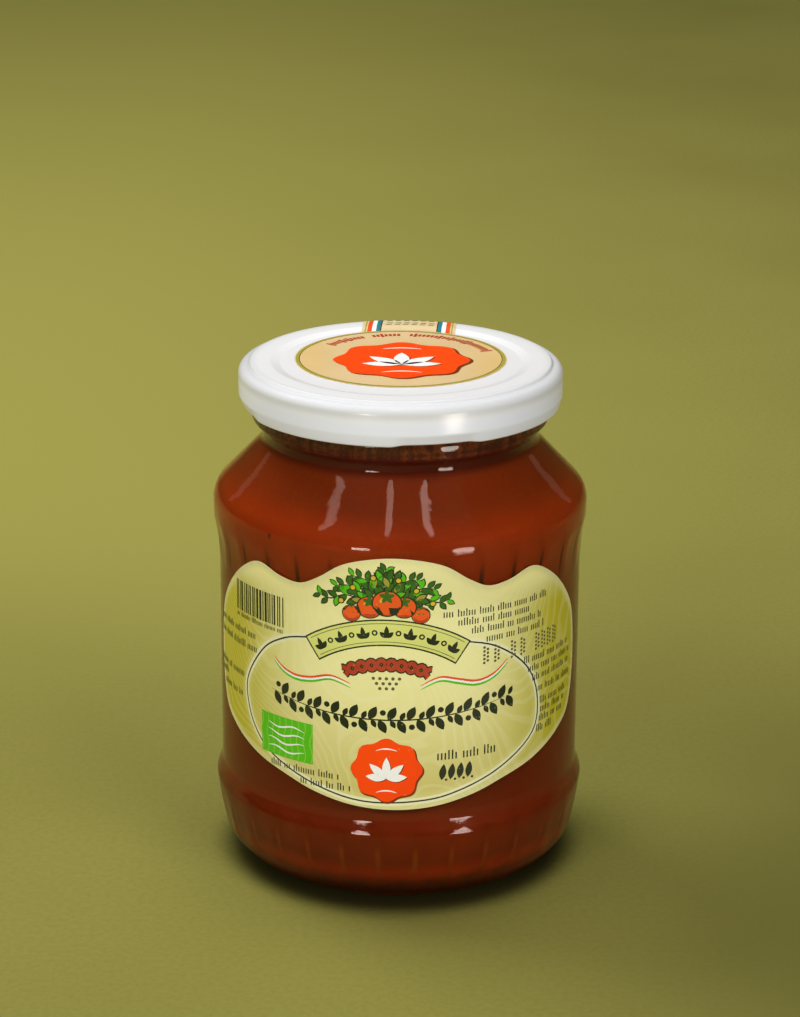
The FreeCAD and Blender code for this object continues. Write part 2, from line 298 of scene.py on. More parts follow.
def make_group(name, inputs, outputs):
    """A shader node group that reads a vector; gives its Nodes and its two ends."""
    tree = bpy.data.node_groups.new(name, "ShaderNodeTree")
    tree.interface.new_socket(name="Vector", in_out="INPUT", socket_type="NodeSocketVector")
    for label, value in inputs.items():
        socket = tree.interface.new_socket(name=label, in_out="INPUT",
                                           socket_type="NodeSocketFloat")
        socket.default_value = value
    for label in outputs:
        tree.interface.new_socket(name=label, in_out="OUTPUT", socket_type="NodeSocketFloat")
    nodes = Nodes(tree)
    return nodes, nodes.add("NodeGroupInput").outputs, nodes.add("NodeGroupOutput").inputs


def specks_group():
    """Sparse round specks: a mask that is 1 inside each speck."""
    nodes, given, result = make_group(
        "specks", {"Scale": 100.0, "Size": 0.1, "Share": 0.2}, ["Mask"])
    cells = nodes.add("ShaderNodeTexVoronoi", {"Vector": given["Vector"], "Scale": given["Scale"]})
    chance = nodes.add("ShaderNodeSeparateColor", {"Color": cells.outputs["Color"]}).outputs[0]
    kept = nodes.math("LESS_THAN", chance, given["Share"])
    near = nodes.math("LESS_THAN", cells.outputs["Distance"], given["Size"])
    nodes.feed(result["Mask"], nodes.times(kept, near))
    return nodes.tree


def smudge_group():
    """Soft wiped patches with fine streaks, from 0 to 1."""
    nodes, given, result = make_group("smudges", {"Scale": 40.0}, ["Mask"])
    wide = nodes.noise(given["Vector"], given["Scale"], 4.0, 0.6)
    streaks = nodes.noise(given["Vector"], given["Scale"], 5.0, 0.7, stretch=(3.0, 3.0, 11.0))
    patch = nodes.ramp(wide, 0.48, 0.72)
    nodes.feed(result["Mask"], nodes.times(patch, nodes.ramp(streaks, 0.3, 0.75)))
    return nodes.tree


def fibre_group():
    """Paper: a fine fibre height and a slow tone that drifts over the sheet."""
    nodes, given, result = make_group("paper_fibre", {"Scale": 900.0}, ["Height", "Tone"])
    fine = nodes.noise(given["Vector"], given["Scale"], 4.0, 0.65)
    long = nodes.noise(given["Vector"], given["Scale"], 2.0, 0.5, stretch=(0.25, 0.25, 1.0))
    nodes.feed(result["Height"], nodes.math("ADD", fine, nodes.times(long, 0.5)))
    nodes.feed(result["Tone"], nodes.noise(given["Vector"], 60.0, 3.0))
    return nodes.tree


SPECKS, SMUDGES, FIBRE = specks_group(), smudge_group(), fibre_group()
FIBRE_DEPTH = 0.00004      # metres


def specks(nodes, place, scale, size, share):
    return nodes.group(SPECKS, place, scale, Size=size, Share=share)["Mask"]


def new_material(name):
    """An empty material, its Nodes and the place of a point on the object."""
    material = bpy.data.materials.new(name)
    material.use_nodes = True
    material.node_tree.nodes.clear()
    nodes = Nodes(material.node_tree)
    return material, nodes, nodes.add("ShaderNodeTexCoord").outputs["Object"]


def skin(nodes, base, rough, normal, **more):
    """A Principled surface as the material's output; more holds its other sockets' values."""
    values = {"Base Color": base, "Roughness": rough, "Normal": normal}
    values |= {name.replace("_", " "): value for name, value in more.items()}
    surface = nodes.add("ShaderNodeBsdfPrincipled", values).outputs[0]
    nodes.add("ShaderNodeOutputMaterial", {"Surface": surface})


# ---- materials ----
def jar_glass_material():
    """Clear pressed glass with a faint green cast, a slightly wavy skin and light smudges."""
    material, nodes, place = new_material("jar_glass")
    wave = nodes.noise(place, 55.0, 2.0, 0.5, stretch=(1.0, 1.0, 1.6))
    ripple = nodes.noise(place, 260.0, 2.0, 0.5)
    lines = nodes.noise(place, 130.0, 3.0, 0.6, stretch=(1.0, 1.0, 7.0))
    normal = nodes.bump(lines, 0.10, 0.00025, nodes.bump(ripple, 0.15, 0.0002))
    normal = nodes.bump(wave, 0.13, 0.0012, normal)
    smudge = nodes.group(SMUDGES, place, 38.0)["Mask"]
    seeds = specks(nodes, place, 170.0, 0.07, 0.1)
    rough = nodes.math("ADD", nodes.times(smudge, 0.07), 0.012)
    rough = nodes.math("ADD", rough, nodes.times(seeds, 0.2), clamp=True)
    tint = nodes.mix(nodes.ramp(nodes.noise(place, 30.0), 0.3, 0.7), (0.965, 0.98, 0.94),
                     (0.94, 0.965, 0.905))
    glass = nodes.add("ShaderNodeBsdfPrincipled", {
        "Base Color": tint, "Roughness": rough, "IOR": 1.5, "Transmission Weight": 1.0,
        "Normal": normal,
    })
    lamps = nodes.add("ShaderNodeBsdfTransparent", {"Color": (0.93, 0.96, 0.92)})
    is_shadow = nodes.add("ShaderNodeLightPath").outputs["Is Shadow Ray"]
    mixed = nodes.add("ShaderNodeMixShader", {0: is_shadow, 1: glass.outputs[0],
                                              2: lamps.outputs[0]})
    depth = nodes.add("ShaderNodeVolumeAbsorption", {"Color": (0.60, 0.68, 0.34),
                                                     "Density": 150.0})
    nodes.add("ShaderNodeOutputMaterial", {"Surface": mixed.outputs[0],
                                           "Volume": depth.outputs[0]})
    return material


# painted lines on the paste, standing in for the light and shade that the glass's facets refract:
# lowest and highest height (m), fade (m), an edge's degrees from the front, strength, colour
PAINTED_FACET_LINES = [
    (0.0050, 0.0160, 0.003, HEEL_EDGE, 0.42, (0.36, 0.072, 0.008)),
    (0.066, 0.0795, 0.006, BAND_EDGE, 0.75, (0.020, 0.008, 0.002)),
]


def paste_material():
    """Thick dark red tomato pulp: softly mottled, with dark flecks and paler fibres. Painted shade
    darkens it below the shoulder and on the cone, painted light brightens its foot, and it dries
    brown on the neck."""
    material, nodes, place = new_material("tomato_pulp")
    clouds = nodes.noise(place, 30.0, 3.0, 0.5)
    grain = nodes.noise(place, 900.0, 3.0, 0.6)
    base = nodes.mix(nodes.ramp(clouds, 0.3, 0.7), (0.270, 0.0250, 0.0020),
                     (0.325, 0.0335, 0.0025))
    base = nodes.mix(nodes.ramp(grain, 0.45, 0.8, 0.0, 0.25), base, (0.42, 0.052, 0.006))
    x, y, height = nodes.split(place)
    # painted shade: darker below the shoulder and on the cone under the lid's overhang; painted
    # light: brighter at the foot
    painted_shade_step = nodes.ramp(height, 0.062, 0.078)
    tone = nodes.mix(painted_shade_step, (0.66, 0.57, 0.5), (1.06, 1.08, 1.0))
    tone = nodes.mix(nodes.ramp(height, 0.0835, 0.0875), tone, (0.85, 1.0, 1.5))
    tone = nodes.mix(nodes.ramp(height, 0.012, 0.0055), tone, (2.4, 1.7, 0.9))
    base = nodes.mix(1.0, base, tone, "MULTIPLY")
    turn = nodes.math("ARCTAN2", x, nodes.times(y, -1.0))
    # painted light and shade: lines where the glass's facets would refract it
    for low, high, fade, edge, depth, color in PAINTED_FACET_LINES:
        wave = nodes.math("SUBTRACT", turn, radians(edge))
        wave = nodes.math("COSINE", nodes.times(wave, float(FACETS)))
        window = nodes.times(nodes.ramp(height, low, low + fade),
                             nodes.ramp(height, high, high - fade))
        line = nodes.times(nodes.ramp(wave, 0.86, 1.0), window)
        base = nodes.over(base, line, depth, color)
    base = nodes.over(base, specks(nodes, place, 190.0, 0.09, 0.04), 0.6, (0.04, 0.006, 0.002))
    base = nodes.over(base, specks(nodes, place, 260.0, 0.10, 0.04), 0.4, (0.45, 0.12, 0.020))
    # the film on the neck: brown, streaked and crumbly, made dark by painted shade from the lid,
    # and a smooth, darker painted shade at its foot
    crumbs = nodes.noise(place, 620.0, 4.0, 0.7)
    film = nodes.mix(nodes.ramp(crumbs, 0.42, 0.66), (0.16, 0.024, 0.024),
                     (0.44, 0.085, 0.034))
    film = nodes.over(film, specks(nodes, place, 900.0, 0.2, 0.12), 0.6, (0.30, 0.17, 0.08))
    film = nodes.mix(nodes.ramp(height, 0.0976, 0.0992), (0.090, 0.003, 0.001), film)
    base = nodes.mix(nodes.ramp(height, 0.0915, 0.0950), base, film)
    normal = nodes.bump(nodes.math("ADD", clouds, nodes.times(grain, 0.15)), 0.2, 0.0006)
    skin(nodes, base, nodes.ramp(grain, 0.3, 0.7, 0.4, 0.6), normal, Specular_IOR_Level=0.08,
         Subsurface_Weight=0.6, Subsurface_Radius=(1.0, 0.22, 0.06), Subsurface_Scale=0.004)
    return material


def enamel_material():
    """White enamel on drawn sheet: soft orange peel, faint smudges, a few grey and red flecks."""
    material, nodes, place = new_material("white_enamel")
    smudge = nodes.group(SMUDGES, place, 60.0)["Mask"]
    drift = nodes.noise(place, 25.0, 3.0)
    base = nodes.mix(nodes.ramp(drift, 0.35, 0.7), (0.795, 0.785, 0.77), (0.765, 0.755, 0.74))
    base = nodes.over(base, smudge, 0.22, (0.66, 0.66, 0.67))
    # painted shade darkens the sheet where it bends from the top down, and the skirt is a little
    # cooler and darker
    height = nodes.split(place)[2]
    bend = nodes.times(nodes.ramp(height, 0.1065, 0.1085),
                       nodes.ramp(nodes.from_axis(place), 0.0300, 0.0328))
    base = nodes.mix(bend, base, (0.65, 0.645, 0.64))
    base = nodes.mix(nodes.ramp(height, 0.1080, 0.1060), base, (0.765, 0.770, 0.815))
    base = nodes.over(base, specks(nodes, place, 75.0, 0.035, 0.16), 0.7, (0.18, 0.17, 0.16))
    base = nodes.over(base, specks(nodes, place, 52.0, 0.025, 0.1), 0.7, (0.45, 0.06, 0.03))
    rough = nodes.math("ADD", nodes.times(smudge, 0.05),
                       nodes.ramp(drift, 0.3, 0.7, 0.20, 0.25))
    peel = nodes.noise(place, 700.0, 2.0, 0.5)
    dents = nodes.noise(place, 38.0, 2.0, 0.5)
    normal = nodes.bump(dents, 0.10, 0.0010, nodes.bump(peel, 0.02, 0.0001))
    skin(nodes, base, rough, normal, IOR=1.5)
    return material


def label_paper_material():
    """Pale yellow label stock: deeper towards its foot, deeper at its ends from a printed tint and
    painted shade, creamy along its rim, with very fine waves all over."""
    material, nodes, place = new_material("label_stock")
    flat = nodes.map("flat")
    across, up, _ = nodes.split(flat)
    from_rim, from_oval, _ = nodes.split(nodes.map("near"))
    fibre = nodes.group(FIBRE, place, 1300.0)
    end = nodes.math("ABSOLUTE", nodes.math("SUBTRACT", across, 0.5))
    base = nodes.mix(nodes.ramp(up, 0.30, 0.0), (0.80, 0.75, 0.37), (0.58, 0.51, 0.17))
    # the flanks: a printed ochre tint together with painted shade where the label turns away from
    # the light
    side = nodes.times(nodes.ramp(end, 0.16, 0.40), nodes.ramp(up, 0.49, 0.38))
    base = nodes.mix(side, base, (0.50, 0.44, 0.022))
    hump = nodes.times(nodes.ramp(end, 0.14, 0.26), nodes.ramp(up, 0.42, 0.48))
    base = nodes.mix(hump, base, (0.90, 0.83, 0.38))
    base = nodes.over(base, nodes.ramp(from_oval, 0.25, 0.0), 0.45, (0.78, 0.74, 0.36))
    base = nodes.over(base, nodes.ramp(from_rim, 0.20, 0.03), 0.75, (0.70, 0.65, 0.33))
    wobble = nodes.add("ShaderNodeTexNoise", {"Vector": flat, "Scale": 3.0, "Detail": 0.0})
    bent = nodes.add("ShaderNodeVectorMath", {0: flat, 1: wobble.outputs["Color"]},
                     operation="ADD")
    waves = nodes.add("ShaderNodeTexWave", {
        "Vector": bent.outputs[0], "Scale": 13.0, "Distortion": 3.0, "Detail": 0.0,
    }, wave_type="BANDS", bands_direction="DIAGONAL").outputs["Fac"]
    base = nodes.over(base, nodes.ramp(waves, 0.62, 0.92), 0.15, (0.84, 0.82, 0.55))
    base = nodes.mix(nodes.ramp(fibre["Tone"], 0.3, 0.7, 0.0, 0.10), base, (0.62, 0.57, 0.2))
    buckle = nodes.noise(place, 42.0, 2.0, 0.5, stretch=(1.0, 1.0, 0.5))
    normal = nodes.bump(buckle, 0.25, 0.0010, nodes.bump(fibre["Height"], 0.12, FIBRE_DEPTH))
    skin(nodes, base, nodes.ramp(fibre["Tone"], 0.3, 0.7, 0.34, 0.44), normal,
         Specular_IOR_Level=0.45)
    return material


def fine_paper(name):
    """A material for sticker stock, its Nodes, the place on it and its fibres."""
    material, nodes, place = new_material(name)
    return material, nodes, place, nodes.group(FIBRE, place, 1500.0)


def strip_paper_material():
    """Uncoated strip stock with fibres and a slow drift of tone."""
    material, nodes, _, fibre = fine_paper("strip_stock")
    base = nodes.mix(nodes.ramp(fibre["Tone"], 0.3, 0.7), (0.70, 0.56, 0.33), (0.64, 0.50, 0.28))
    base = nodes.mix(nodes.ramp(fibre["Height"], 0.6, 1.1, 0.0, 0.10), base, (0.45, 0.36, 0.2))
    skin(nodes, base, nodes.ramp(fibre["Tone"], 0.3, 0.7, 0.42, 0.52),
         nodes.bump(fibre["Height"], 0.15, FIBRE_DEPTH), Specular_IOR_Level=0.4)
    return material


def sticker_paper_material():
    """Cream sticker stock that browns softly towards its left and right ends."""
    material, nodes, place, fibre = fine_paper("sticker_stock")
    out = nodes.math("ABSOLUTE", nodes.split(place)[0])
    base = nodes.mix(nodes.ramp(out, 0.010, 0.023), (0.66, 0.49, 0.26), (0.66, 0.46, 0.18))
    base = nodes.mix(nodes.ramp(fibre["Tone"], 0.3, 0.7, 0.0, 0.4), base, (0.70, 0.54, 0.30))
    skin(nodes, base, nodes.ramp(fibre["Tone"], 0.3, 0.7, 0.40, 0.5),
         nodes.bump(fibre["Height"], 0.15, FIBRE_DEPTH), Specular_IOR_Level=0.4)
    return material


def ink_material(ink):
    """Printing ink: a little uneven in tone, with pinholes and the paper's grain."""
    material, nodes, place, fibre = fine_paper(f"ink_{ink}")
    base = nodes.mix(nodes.ramp(fibre["Tone"], 0.35, 0.65), *INKS[ink])
    base = nodes.over(base, specks(nodes, place, 1500.0, 0.25, 0.08), 0.3, (0.6, 0.55, 0.3))
    skin(nodes, base, nodes.ramp(fibre["Tone"], 0.3, 0.7, 0.34, 0.44),
         nodes.bump(fibre["Height"], 0.12, FIBRE_DEPTH), Specular_IOR_Level=0.45)
    return material


def floor_material():
    """Plain pale card with a faint grain, with painted light, painted shadows and a painted
    contact shadow.
    """
    material, nodes, place = new_material("pale_card")
    grain = nodes.noise(place, 700.0, 3.0, 0.6)
    drift = nodes.noise(place, 6.0, 2.0)
    base = nodes.mix(nodes.ramp(drift, 0.3, 0.7), (0.270, 0.250, 0.069), (0.245, 0.225, 0.060))
    base = nodes.mix(nodes.ramp(grain, 0.35, 0.7, 0.0, 0.3), base, (0.190, 0.175, 0.044))
    # painted light makes the card paler towards the far left, and a painted shadow darkens it at
    # the near right
    across, deep, _ = nodes.split(place)
    pale = nodes.times(nodes.ramp(across, 0.22, -0.14), nodes.ramp(deep, 0.0, 0.22))
    base = nodes.mix(pale, base, (0.315, 0.292, 0.078))
    near_right_shadow = nodes.times(nodes.ramp(across, 0.02, 0.11), nodes.ramp(deep, 0.16, 0.0))
    base = nodes.mix(near_right_shadow, base, (0.155, 0.143, 0.038))
    # painted contact shadow: the card darkens where something stands on it
    near = nodes.add("ShaderNodeAmbientOcclusion", {"Distance": 0.011}, samples=8)
    base = nodes.mix(nodes.ramp(near.outputs["AO"], 0.72, 0.30), base, (0.030, 0.026, 0.008))
    skin(nodes, base, nodes.ramp(drift, 0.3, 0.7, 0.7, 0.8), nodes.bump(grain, 0.15, 0.0002),
         Specular_IOR_Level=0.0)
    return material


# ---- flat shapes for paper and ink, in millimetres ----
def smooth_line(points, closed=False, steps=6):
    """More points on a smooth curve through the given ones."""
    count = len(points)
    line = []
    for i in range(count if closed else count - 1):
        if closed:
            p0, p1, p2, p3 = (Vector(points[(i + k) % count]) for k in (-1, 0, 1, 2))
        else:
            p0, p1, p2, p3 = (Vector(points[min(max(i + k, 0), count - 1)]) for k in (-1, 0, 1, 2))
        for step in range(steps):
            t = step / steps
            line.append(0.5 * (2 * p1 + (p2 - p0) * t + (2 * p0 - 5 * p1 + 4 * p2 - p3) * t * t
                               + (3 * p1 - p0 - 3 * p2 + p3) * t ** 3))
    if not closed:
        line.append(Vector(points[-1]))
    return line


def flat_place(x, y, level, turn, wide, tall=1.0):
    """A matrix that stretches, turns and moves a flat shape."""
    return (Matrix.Translation((x, y, level)) @ Matrix.Rotation(turn, 4, "Z")
            @ Matrix.Diagonal((wide, tall, 1, 1)))


class Sheet:
    """Flat shapes on one sheet, which is later cut into short spans, bent and thickened."""

    def __init__(self):
        self.bm = bmesh.new()

    def fill(self, points, level=0):
        """A closed outline filled with faces."""
        verts = [self.bm.verts.new((p[0], p[1], level)) for p in points]
        edges = [self.bm.edges.new((a, b)) for a, b in zip(verts, verts[1:] + verts[:1])]
        bmesh.ops.triangle_fill(self.bm, use_beauty=True, edges=edges, normal=(0, 0, 1))

    def stroke(self, points, width, closed=False, level=0, taper=False):
        """A line of some width along the points; a tapered one is thin at both ends."""
        points = [Vector(p) for p in points]
        count = len(points)
        sides = []
        for i, point in enumerate(points):
            before = points[i - 1] if i or closed else point
            after = points[(i + 1) % count] if i + 1 < count or closed else point
            along = (after - before).normalized()
            half = width / 2
            if taper:
                half *= 0.12 + 0.88 * sin(pi * i / (count - 1)) ** 0.8
            sides.append(Vector((-along.y, along.x)) * half)
        verts = [self.bm.verts.new((p.x, p.y, level)) for p in points]
        pairs = list(zip(verts, verts[1:] + verts[:1]))
        edges = [self.bm.edges.new(pair) for pair in (pairs if closed else pairs[:-1])]
        made = bmesh.ops.extrude_edge_only(self.bm, edges=edges)["geom"]
        far = [v for v in made if isinstance(v, bmesh.types.BMVert)]
        spot = {tuple(round(c, 5) for c in v.co): v for v in far}
        for point, side, near in zip(points, sides, verts):
            other = spot[tuple(round(c, 5) for c in near.co)]
            near.co += side.to_3d()
            other.co -= side.to_3d()

    def dot(self, x, y, radius, level=0, segments=16, stretch=1.0, turn=0.0):
        """A round or oval dot; stretch lengthens it along its own x."""
        bmesh.ops.create_circle(self.bm, cap_ends=True, radius=radius, segments=segments,
                                matrix=flat_place(x, y, level, turn, stretch))

    def bar(self, x, y, width, height, level=0, turn=0.0):
        """A rectangle about its middle."""
        bmesh.ops.create_grid(self.bm, x_segments=1, y_segments=1, size=0.5,
                              matrix=flat_place(x, y, level, turn, width, height))

    def leaf(self, x, y, length, width, turn, level=0):
        """A pointed leaf from its stalk outwards."""
        half = [(0.0, 0.0), (0.22, 0.36), (0.5, 0.5), (0.78, 0.32), (1.0, 0.0)]
        right = smooth_line(half, steps=3)
        left = [Vector((p.x, -p.y)) for p in reversed(right[1:-1])]
        spin = Matrix.Rotation(turn, 2)
        shape = [spin @ Vector((p.x * length, p.y * width)) + Vector((x, y)) for p in right + left]
        self.fill(shape, level)

    def cut(self, step_x, step_y):
        """Cuts the sheet into short spans, so that it can bend."""
        low = [min(v.co[i] for v in self.bm.verts) for i in range(2)]
        high = [max(v.co[i] for v in self.bm.verts) for i in range(2)]
        for axis, step in ((0, step_x), (1, step_y)):
            normal = (1, 0, 0) if axis == 0 else (0, 1, 0)
            for k in range(ceil(low[axis] / step), floor(high[axis] / step) + 1):
                at = [0, 0, 0]
                at[axis] = k * step
                bmesh.ops.bisect_plane(
                    self.bm, geom=self.bm.verts[:] + self.bm.edges[:] + self.bm.faces[:],
                    dist=1e-5, plane_co=at, plane_no=normal,
                )

    def wrap(self, place, base, thickness, maps=None):
        """Bends the sheet with place(x, y, lift) and gives it a thickness above base."""
        bm = self.bm
        for face in bm.faces:
            face.normal_update()
            if face.normal.z < 0:
                face.normal_flip()
        for name, flat_map in (maps or {}).items():
            layer = bm.loops.layers.uv.new(name)
            for face in bm.faces:
                for loop in face.loops:
                    loop[layer].uv = flat_map(loop.vert.co)
        for vert in bm.verts:
            lift = base + vert.co.z * INK_STEP + thickness
            vert.co = place(vert.co.x, vert.co.y, lift) * MM
        bm.normal_update()
        bmesh.ops.solidify(bm, geom=bm.faces[:], thickness=thickness * MM)
        bmesh.ops.recalc_face_normals(bm, faces=bm.faces[:])
        return bm


JAR_Z, JAR_R = heights_and_radii(GLASS_OUTSIDE[4:9])


def span_of(steps, at):
    """The span of a rising list that a number lies in: its upper end and the share along it."""
    i = min(max(bisect.bisect(steps, at), 1), len(steps) - 1)
    return i, (at - steps[i - 1]) / (steps[i] - steps[i - 1])


def jar_radius(height):
    i, share = span_of(JAR_Z, height)
    return JAR_R[i - 1] + share * (JAR_R[i] - JAR_R[i - 1])


def on_jar(along, height, lift):
    """A point of the flat label, bent round the jar; ink is squeezed where the belt is near."""
    turn = LABEL_TURN + along / LABEL_R
    wall = jar_radius(height)
    paper = PAPER_LIFT + PAPER
    if lift > paper:
        room = min(1.0, (BELT_ROOM - wall - paper) / MOST_INK)
        lift = paper + (lift - paper) * room
    radius = wall + lift
    return Vector((radius * sin(turn), -radius * cos(turn), height))


def on_panel(x, y, lift):
    """A point on the lid's sunk panel."""
    return Vector((x, y, PANEL_Z + lift))


def strip_path():
    """Where the seal strip runs, from the sticker down the back: points (radius, height) and how
    far along the strip each is."""
    cone_z = SHOULDER_Z + (SHOULDER_R - LID_R) / CONE_SLOPE
    corners = [(STRIP_START_R, PANEL_Z, 0.0)] + LID_OUTLINE[1:6]
    corners += [(LID_R, cone_z, 1.0),
                (SHOULDER_R - STRIP_END * CONE_SLOPE, SHOULDER_Z + STRIP_END, 0.0)]
    bm = outline(corners, arc_steps=8, longest=1.5)
    vert = next(v for v in bm.verts if len(v.link_edges) == 1 and v.co.z > 0.1)
    points, seen = [], set()
    while vert:
        points.append(Vector((vert.co.x / MM, vert.co.z / MM)))
        seen.add(vert)
        onward = [edge.other_vert(vert) for edge in vert.link_edges]
        vert = next((v for v in onward if v not in seen), None)
    bm.free()
    lengths = [0.0]
    for a, b in zip(points, points[1:]):
        lengths.append(lengths[-1] + (b - a).length)
    return points, lengths


STRIP_POINTS, STRIP_LENGTHS = strip_path()


def on_strip(side, along, lift):
    """A point of the flat strip: side to side, and along it from the sticker's edge."""
    i, share = span_of(STRIP_LENGTHS, along)
    a, b = STRIP_POINTS[i - 1], STRIP_POINTS[i]
    run = (b - a).normalized()
    ahead = STRIP_POINTS[min(i + 1, len(STRIP_POINTS) - 1)]
    behind = STRIP_POINTS[max(i - 2, 0)]
    before = (b - behind).normalized().lerp(run, 0.5)
    after = (ahead - a).normalized().lerp(run, 0.5)
    facing = before.lerp(after, share).normalized()
    spot = a.lerp(b, share) + Vector((-facing.y, facing.x)) * lift
    back = sqrt(max(spot.x ** 2 - side ** 2, 0.0))
    x = side * cos(STRIP_TURN) + back * sin(STRIP_TURN)
    y = back * cos(STRIP_TURN) - side * sin(STRIP_TURN)
    return Vector((x, y, spot.y))


# ---- glass, contents and lid ----
def between(value):
    """A number held between nought and one."""
    return max(0.0, min(1.0, value))


def soft_least(a, b, blend):
    """The smaller of two numbers, rounded where they are close."""
    h = max(blend - abs(a - b), 0.0) / blend
    return min(a, b) - h * h * blend * 0.25


def facet_limit(angle, edge, flat):
    """How far out a facet lies at an angle; flat is its nearest distance from the axis."""
    step = 360.0 / FACETS
    off = (angle - edge) % step - step / 2
    return flat / cos(radians(off))


def press_facets(bm):
    """Flattens the heel and the band under the shoulder into upright facets."""
    for vert in bm.verts:
        height, radius = vert.co.z / MM, vert.co.xy.length / MM
        if radius < 38.0:
            continue
        angle = degrees(from_front(vert.co))
        if height < 19.0:
            limit = facet_limit(angle, HEEL_EDGE, 40.0 + 0.2 * (height - 16.7))
        elif 66.0 < height < 90.0:
            bow = sqrt(max(SCOOP_R ** 2 - (height - SCOOP_Z) ** 2, 0.0))
            limit = facet_limit(angle, BAND_EDGE, SCOOP_FLAT + SCOOP_R - bow)
        else:
            continue
        new = soft_least(radius, limit, 0.06)
        if new < radius:
            vert.co.xy *= new / radius


def flute_inside(bm):
    """Waves the inner wall softly behind the facets; the paste that fills it follows."""
    for vert in bm.verts:
        height, radius = vert.co.z / MM, vert.co.xy.length / MM
        if not 30.0 < radius < 37.9:
            continue
        heel = between(min((21.0 - height) / 3.0, (height - 5.6) / 3.0))
        band = between(min((height - 66.0) / 4.0, (82.0 - height) / 4.0))
        edge = HEEL_EDGE if height < 40.0 else BAND_EDGE
        turn = radians((degrees(from_front(vert.co)) - edge) * FACETS)
        depth = max(heel * HEEL_FLUTE, band * BAND_FLUTE) * (0.5 + 0.5 * cos(turn)) ** 3
        vert.co.xy *= 1 - depth / radius


def make_glass():
    corners = GLASS_OUTSIDE + list(reversed(GLASS_INSIDE))
    bm = turn_round(outline(corners, arc_steps=6, longest=2.2), 420)
    press_facets(bm)
    flute_inside(bm)
    piece = finish_piece(bm, "jar_wall", jar_glass_material(), sharp=70.0)
    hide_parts("glass_jar")


def make_paste():
    """All the space in the glass up to the filling height, a little into the wall."""
    corners = offset_outline(GLASS_INSIDE, -PASTE_IN_WALL)
    neck = MOUTH_R + PASTE_IN_WALL
    corners = corners[:8] + [
        (neck, FILM_TOP, 0.0), (neck - FILM, FILM_TOP, 0.0), (neck - FILM, FILL_Z + 0.6, 0.5),
        (neck - 3.0, FILL_Z, 0.5), (0.0, FILL_Z, 0.0),
    ]
    bm = turn_round(outline(corners, arc_steps=6, longest=2.2), 360)
    flute_inside(bm)
    piece = finish_piece(bm, "paste_fill", paste_material(), sharp=70.0)
    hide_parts("tomato_paste")


def make_lid():
    """Drawn sheet with a rolled edge; its lugs lift that edge and pinch it in."""
    bm = turn_round(outline(LID_OUTLINE, arc_steps=7, longest=2.2), 360)
    step = 360.0 / LUGS
    for vert in bm.verts:
        height = vert.co.z / MM
        if height > LUG_TOP_Z or vert.co.xy.length / MM < 30.0:
            continue
        off = (degrees(from_front(vert.co)) - LUG_TURN + step / 2) % step - step / 2
        near = between((LUG_HALF - abs(off)) / LUG_FADE)
        near = near * near * (3 - 2 * near) * min(1.0, (LUG_TOP_Z - height) / 1.6)
        vert.co.z += LUG_LIFT * near * MM
        vert.co.xy *= 1 - LUG_PINCH * near / (vert.co.xy.length / MM)
    piece = finish_piece(bm, "twist_lid", enamel_material(), sharp=50.0)
    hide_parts("lid")


# ---- papers and print ----
def label_outline():
    left = [(-x, y) for x, y in reversed(LABEL_EDGE[1:-1])]
    return smooth_line(LABEL_EDGE + left, closed=True, steps=6)


def label_uv(co):
    """The flat label as UVs, 1 wide; heights keep the same scale."""
    return (co.x / 104.0 + 0.5, (co.y - 24.0) / 104.0)


def distance_map(lines):
    """UVs that tell how far a point of the sheet is from each of two closed lines, in cm."""
    loops = [[Vector((p[0], p[1], 0.0)) for p in line] for line in lines]
    known = {}

    def nearest(co, loop):
        best = 1e9
        for a, b in zip(loop, loop[1:] + loop[:1]):
            share = min(max((co - a).dot(b - a) / (b - a).length_squared, 0.0), 1.0)
            best = min(best, (a.lerp(b, share) - co).length)
        return best / 10.0

    def flat_map(co):
        key = (round(co.x, 3), round(co.y, 3))
        if key not in known:
            spot = Vector((co.x, co.y, 0.0))
            known[key] = (nearest(spot, loops[0]), nearest(spot, loops[1]))
        return known[key]
    return flat_map


def oval_line():
    return smooth_line(OVAL_LINE, closed=True, steps=5)


def make_label():
    sheet = Sheet()
    sheet.fill(label_outline())
    sheet.cut(1.5, 2.0)
    maps = {"flat": label_uv, "near": distance_map([label_outline(), oval_line()])}
    bm = sheet.wrap(on_jar, PAPER_LIFT, PAPER, maps)
    piece = finish_piece(bm, "label_sheet", label_paper_material())
    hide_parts("front_label")


# each ink's colour and the one it drifts to
INKS = {
    "dark": ((0.022, 0.030, 0.012), (0.035, 0.045, 0.018)),
    "grey": ((0.12, 0.12, 0.055), (0.16, 0.155, 0.07)),
    "cream": ((0.80, 0.77, 0.50), (0.76, 0.73, 0.46)),
    "band": ((0.64, 0.65, 0.20), (0.67, 0.68, 0.22)),
    "green": ((0.105, 0.48, 0.012), (0.12, 0.52, 0.018)),
    "lime": ((0.24, 0.56, 0.04), (0.27, 0.60, 0.05)),
    "leaf": ((0.045, 0.13, 0.02), (0.06, 0.17, 0.025)),
    "red": ((0.40, 0.055, 0.022), (0.46, 0.07, 0.03)),
    "tomato": ((0.72, 0.09, 0.02), (0.78, 0.13, 0.02)),
    "yellow": ((0.75, 0.52, 0.06), (0.70, 0.46, 0.05)),
    "orange": ((0.91, 0.086, 0.004), (0.87, 0.075, 0.004)),
    "shade": ((0.20, 0.035, 0.012), (0.26, 0.05, 0.015)),
    "white": ((0.86, 0.85, 0.80), (0.82, 0.81, 0.76)),
    "teal": ((0.020, 0.21, 0.26), (0.030, 0.25, 0.30)),
    "olive": ((0.42, 0.38, 0.07), (0.38, 0.33, 0.06)),
}


